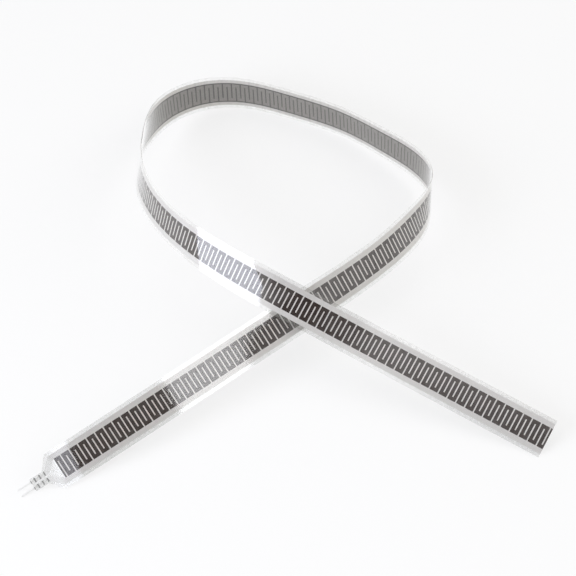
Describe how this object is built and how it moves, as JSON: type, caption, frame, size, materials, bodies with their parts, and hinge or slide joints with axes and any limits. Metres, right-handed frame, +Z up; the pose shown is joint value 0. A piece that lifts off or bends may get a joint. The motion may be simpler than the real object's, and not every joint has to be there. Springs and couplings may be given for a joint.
{
  "type": "force sensing resistor",
  "caption": "Long trimmable force sensing strip of two clear films round an interdigitated silver comb and a dark ink band, with two crimped solder pins, bent into an open loop.",
  "frame": {"origin": "middle of the outline at rest, on the surface the strip lies on", "axes": "+Z up from the surface; the flat tail with the solder pins points towards -X and -Y, and the loop lies towards +Y"},
  "size_m": [0.2033, 0.2011, 0.0431],
  "materials": {
    "clear_film": "clear glossy polyester film",
    "resistive_ink": "thin brownish black carbon ink",
    "adhesive": "milky white adhesive layer",
    "silver_ink": "printed silver ink, satin pale gray",
    "tinned_metal": "bright tin plate"
  },
  "bodies": {
    "root": {"rear_film": "clear_film", "resistive_ink": "resistive_ink", "spacer_adhesive": "adhesive", "silver_comb_left": "silver_ink", "silver_comb_right": "silver_ink", "front_film": "clear_film", "terminal_left": "tinned_metal", "terminal_right": "tinned_metal"}
  },
  "joints": []
}
